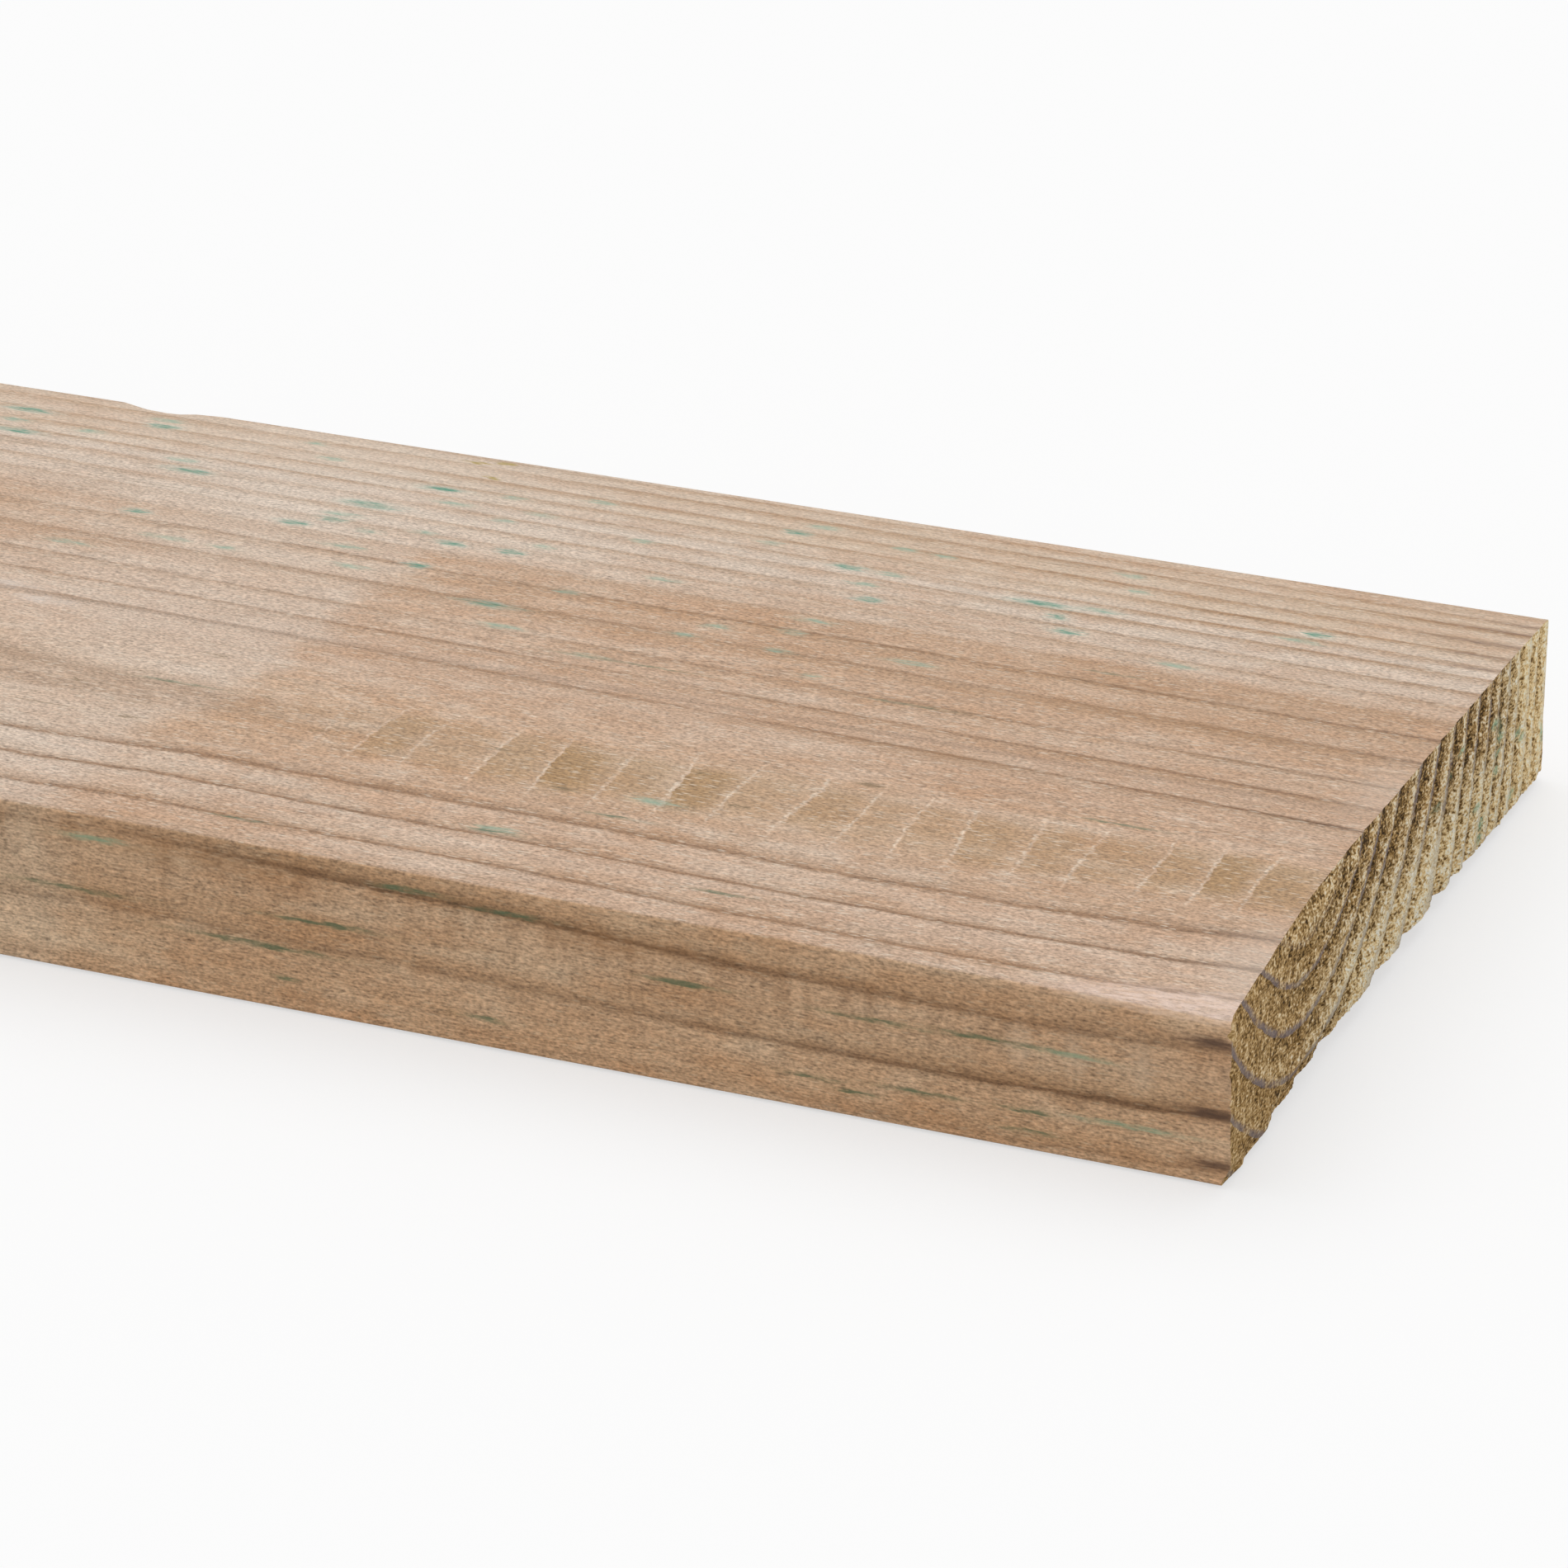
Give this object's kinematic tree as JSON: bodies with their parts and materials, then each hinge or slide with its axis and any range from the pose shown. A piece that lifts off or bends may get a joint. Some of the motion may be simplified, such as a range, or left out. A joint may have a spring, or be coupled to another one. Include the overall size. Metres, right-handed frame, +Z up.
{
  "type": "timber batten",
  "caption": "Planed, preservative-treated softwood batten, a wide flat board slightly cupped across its width, with eased long arrises and square sawn ends, for cladding, rails or trim.",
  "frame": {"origin": "on the floor, under the middle of the board's footprint", "axes": "+X along the length, towards the sawn end that the picture shows; +Y across the width, away from the picture's camera; +Z up, out of the crowned heart face"},
  "size_m": [1.8, 0.1198, 0.0223],
  "materials": {
    "treated_softwood": "planed faces and edges with raised grain, rough sawn ends, matt, preservative stain left bare"
  },
  "bodies": {
    "root": {"timber_batten": "treated_softwood"}
  },
  "joints": []
}
